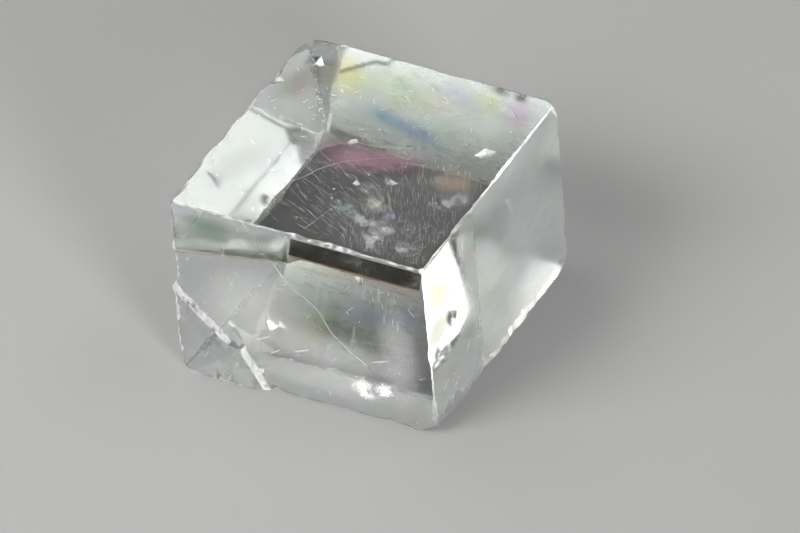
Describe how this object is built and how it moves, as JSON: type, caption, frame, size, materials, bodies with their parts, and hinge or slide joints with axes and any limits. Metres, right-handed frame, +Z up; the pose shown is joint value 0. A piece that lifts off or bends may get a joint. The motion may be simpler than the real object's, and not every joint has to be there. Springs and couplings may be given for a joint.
{
  "type": "calcite specimen",
  "caption": "Clear calcite cleavage rhomb with flat see-through faces, bruised white edges, broken corners and a proud ledge, lying on one cleavage face as a display specimen.",
  "frame": {"origin": "under the middle of the bounding box, on the cleavage face that the rhomb rests on", "axes": "+Z up, square to the face that it rests on; +X along the front edge, towards the near corner; +Y away from the front face"},
  "size_m": [0.0464, 0.0416, 0.0239],
  "materials": {
    "calcite": "clear cleavage faces with fine scratches, and white bruised edges"
  },
  "bodies": {
    "root": {"calcite_rhomb": "calcite"}
  },
  "joints": []
}
